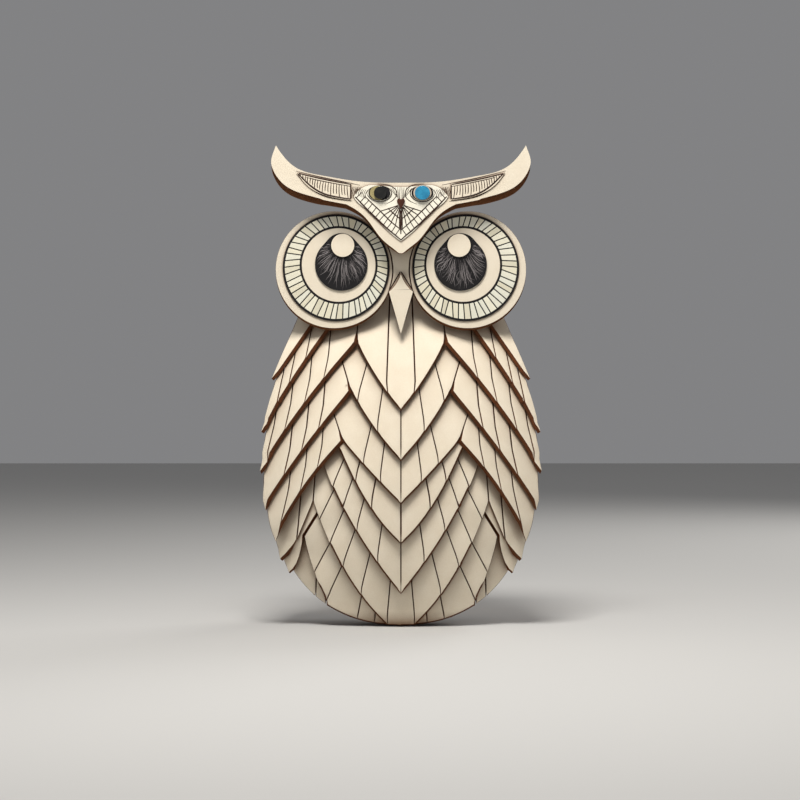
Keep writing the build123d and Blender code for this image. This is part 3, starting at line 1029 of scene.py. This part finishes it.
def flat_disc(name, centre, radius_x, radius_z, y, thick, material, hole=0.0):
    bpy.ops.object.select_all(action="DESELECT")
    disc = add_circle(centre, 1.0, y, DISC_SIDES)
    bpy.ops.object.mode_set(mode="EDIT")
    bpy.ops.mesh.select_all(action="SELECT")
    bpy.ops.mesh.edge_face_add()
    bpy.ops.mesh.inset(thickness=hole or DISC_INSET)
    if hole:
        bpy.ops.mesh.delete(type="FACE")
    bpy.ops.object.mode_set(mode="OBJECT")
    for point in disc.data.vertices:
        point.co.x = centre.x + (point.co.x - centre.x) * radius_x
        point.co.z = centre.z + (point.co.z - centre.z) * radius_z
    face_forward(disc.data)
    disc.name = name
    thicken(disc, thick)
    soften(disc, "soft_edge", DISC_BEVEL)
    finish_modifiers(disc)
    paint(disc, material)
    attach(disc, "head")
    return disc


SETTING_Y = low("gem_settings").y
blue_middle, dark_middle = centre_of("gem_blue_right"), centre_of("gem_dark_left")
rim = flat_disc("inlay_rim_right", blue_middle, 5.0 * MM, 4.45 * MM, SETTING_Y - RIM_PROUD,
                RIM_THICK, face_card, hole=0.2)
blue = flat_disc("inlay_blue_right", blue_middle, 4.15 * MM, 3.85 * MM,
                 low("gem_blue_right").y - INLAY_PROUD, INLAY_THICK, blue_glaze)
dark = flat_disc("inlay_dark_left", dark_middle + Vector((0.5 * MM, 0, 0)), 3.5 * MM, 3.5 * MM,
                 low("gem_dark_left").y - INLAY_PROUD, INLAY_THICK, black_glaze)
crescent = flat_disc("inlay_crescent_left", dark_middle - Vector((0.8 * MM, 0, 0)), 4.5 * MM,
                     3.9 * MM, SETTING_Y - RIM_PROUD, RIM_THICK, gold_card)
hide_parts("gem_blue_right")
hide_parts("gem_dark_left")

# %% [markdown]
# ## The paper bag
# The bag is thin kraft paper: flat between its creases, but never quite. Each panel is the
# outer face of its solid, cut into a fine grid, crumpled a little with noise that dies away
# at the creases, and given a paper's thickness. The open end keeps the saw-tooth cut of a bag
# machine, and the glued seam runs up the middle of the back.

# %% Paper measures
COLUMN, PAPER_ROW = 1.6 * MM, 2.2 * MM
PAPER_THICK = 0.22 * MM
TOOTH = 1.1 * MM
FOLDS = 16                                 # handling creases on each sheet
FOLD_LONG, FOLD_BROAD = 45 * MM, 5 * MM
BROAD_SIZE, SHARP_SIZE, FINE_SIZE = 34 * MM, 15 * MM, 4 * MM
BROAD, SHARP, FINE, BENT = 0.8, 0.45, 0.12, 0.6    # shares of a panel's crumple
ELSEWHERE = Vector((7, 3, 1))              # keeps the sharp noise apart from the broad one
FLAT_BORDER = 7 * MM                       # the crumple dies away this near a crease
DEEPEST = 0.35 * MM
SEAM_HALF, SEAM_RISE = 6 * MM, 0.45 * MM
FOOT_BAND, OPEN_BELOW = 0.1 * MM, 0.5 * MM

# %% Handling creases

def handled_folds(corners, count):
    """Faint creases that handling leaves: lines over the sheet, each with its own rise."""
    wide = [c.x + c.y for c in corners]
    tall = [c.z for c in corners]
    folds = []
    for _ in range(count):
        turn = random.uniform(0, pi)
        folds.append((random.uniform(min(wide), max(wide)), random.uniform(min(tall), max(tall)),
                      cos(turn), sin(turn), random.choice((-1, 1)) * random.uniform(0.5, 1)))
    return folds


def fold_height(place, folds):
    height = 0.0
    for u, z, across, up, rise in folds:
        away = (place.x + place.y - u) * across + (place.z - z) * up
        along_it = (place.z - z) * across - (place.x + place.y - u) * up
        fade = max(0.0, 1 - abs(along_it) / FOLD_LONG)
        height += rise * fade * max(0.0, 1 - abs(away) / FOLD_BROAD)
    return height


# %% [markdown]
# The points on a panel's creases stay where they are, so neighbours still meet. Those on the
# open end may move, and every second column there is raised into a tooth.

# %% Paper panels
def cut_into_grid(shape, corners):
    for axis, pitch in ((0, COLUMN), (2, PAPER_ROW)):
        first = min(c[axis] for c in corners)
        last = max(c[axis] for c in corners)
        count = int((last - first) / pitch)
        for step in range(1, count + 1):
            place = Vector((0, 0, 0))
            place[axis] = first + (last - first) * step / (count + 1)
            normal = Vector((0, 0, 0))
            normal[axis] = 1
            bmesh.ops.bisect_plane(shape, geom=shape.verts[:] + shape.edges[:] + shape.faces[:],
                                   plane_co=place, plane_no=normal)


def crumple_height(place, folds, crumple, near):
    """How far out a point of the sheet stands, near being its distance from a crease."""
    fade = min(near / FLAT_BORDER, 1.0)
    broad = noise.noise(place / BROAD_SIZE)
    sharp = 1 - 2 * abs(noise.noise(place / SHARP_SIZE + ELSEWHERE))
    fine = noise.noise(place / FINE_SIZE)
    bent = fold_height(place, folds)
    return (BROAD * broad + SHARP * sharp + FINE * fine + BENT * bent) * fade * crumple


def crumple_sheet(shape, corners, outward, crumple, seam):
    foot = min(v.co.z for v in shape.verts)
    open_end = foot < OPEN_BELOW
    border = {v for v in shape.verts if v.is_boundary}
    creases = [v.co.copy() for v in border if v.co.z > foot + FOOT_BAND]
    left = min(c.x for c in corners)
    folds = handled_folds(corners, FOLDS)
    for point in shape.verts:
        on_open_end = open_end and point.co.z < foot + FOOT_BAND
        if point in border and not on_open_end:
            continue
        near = min((point.co - crease).length for crease in creases)
        height = crumple_height(point.co, folds, crumple, near)
        if seam and abs(point.co.x) < SEAM_HALF:
            height += SEAM_RISE
        point.co += outward * max(height, -DEEPEST)
        on_open_end = open_end and point.co.z < foot + FOOT_BAND
        if on_open_end and round((point.co.x - left) / COLUMN) % 2:
            point.co.z += TOOTH


def paper_panel(node, body, outward, crumple):
    outward = Vector(outward).normalized()
    mesh, shape = welded_copy(node)
    lost = [f for f in shape.faces if f.normal.dot(outward) < 0.9]
    bmesh.ops.delete(shape, geom=lost, context="FACES")
    bmesh.ops.dissolve_limit(shape, angle_limit=radians(1), verts=shape.verts, edges=shape.edges)
    corners = [v.co.copy() for v in shape.verts]
    cut_into_grid(shape, corners)
    crumple_sheet(shape, corners, outward, crumple, node == "bag_back_panel")
    shape.to_mesh(mesh)
    shape.free()
    piece = new_piece(node + "_paper", mesh, kraft, body)
    thicken(piece, PAPER_THICK)
    for polygon in mesh.polygons:
        polygon.use_smooth = True
    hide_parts(node)
    return piece


ACROSS, DEEP = 0.57, 0.82                  # how a gusset at rest faces
BACK, FRONT, GUSSET, CROWN = 1.5 * MM, 0.04 * MM, 0.24 * MM, 0.3 * MM      # their crumple
for name, body, outward, crumple in (
        ("bag_back_panel", "back", (0, 1, 0), BACK),
        ("bag_front_panel", "front", (0, -1, 0), FRONT),
        ("bag_flap", "head", (0, -1, 0), FRONT),
        ("gusset_right_front", "gusset_right_front", (ACROSS, DEEP, 0), GUSSET),
        ("gusset_right_rear", "gusset_right_rear", (ACROSS, -DEEP, 0), GUSSET),
        ("gusset_left_front", "gusset_left_front", (-ACROSS, DEEP, 0), GUSSET),
        ("gusset_left_rear", "gusset_left_rear", (-ACROSS, -DEEP, 0), GUSSET),
        ("crown_front", "crown_front", (0, DEEP, ACROSS), CROWN),
        ("crown_rear", "crown_rear", (0, -DEEP, ACROSS), CROWN)):
    panel = paper_panel(name, body, outward, crumple)
    print(panel.name, len(panel.data.polygons), "faces")

# %% [markdown]
# ## Stage, light and camera
# A flat pale floor under a grey sky, and three lights: a strong one high in front, a weak broad
# one from the left, and one from behind on the right that shows the paper's back. The camera
# looks straight on, a little below the middle of the owl.

# %% Stage
bpy.ops.object.select_all(action="DESELECT")
bpy.ops.mesh.primitive_plane_add(size=6, location=(0, 0.2, FLOOR_Z))
floor = bpy.context.object
floor.name = "floor"
floor_paint = bpy.data.materials.new("floor_paint")
floor_paint.use_nodes = True
floor_shader = floor_paint.node_tree.nodes["Principled BSDF"]
floor_shader.inputs["Base Color"].default_value = (0.55, 0.545, 0.53, 1)
floor_shader.inputs["Roughness"].default_value = 0.9
floor.data.materials.append(floor_paint)

world = bpy.data.worlds.new("studio")
world.use_nodes = True
sky = world.node_tree.nodes["Background"]
sky.inputs["Color"].default_value = (0.86, 0.86, 0.88, 1)
sky.inputs["Strength"].default_value = 0.26
bpy.context.scene.world = world

# %% Lights and camera
AIM = Vector((0, -0.03, 0.11))


def area_light(name, place, size, power, tint):
    bpy.ops.object.light_add(type="AREA", location=place)
    lamp = bpy.context.object
    lamp.name = name
    lamp.data.size = size
    lamp.data.energy = power
    lamp.data.color = tint
    lamp.rotation_euler = (AIM - Vector(place)).to_track_quat("-Z", "Y").to_euler()
    return lamp


area_light("key", (-0.06, -0.42, 0.80), 0.26, 7.6, (1.0, 0.97, 0.93))
area_light("fill", (-0.9, -0.9, 0.25), 0.8, 0.8, (1.0, 0.98, 0.95))
area_light("rear", (0.75, 0.85, 0.75), 0.6, 6.0, (1.0, 0.98, 0.95))

VIEW_CENTRE = Vector((-0.0005, -0.05, 0.0994))
VIEW_WIDTH = 0.4416
CAMERA_AWAY = 1.25
bpy.ops.object.camera_add(location=VIEW_CENTRE - Vector((0, CAMERA_AWAY, 0)),
                          rotation=(pi / 2, 0, 0))
camera = bpy.context.object
camera.data.lens = camera.data.sensor_width * CAMERA_AWAY / VIEW_WIDTH
bpy.context.scene.camera = camera
bpy.context.scene.view_settings.view_transform = "Standard"
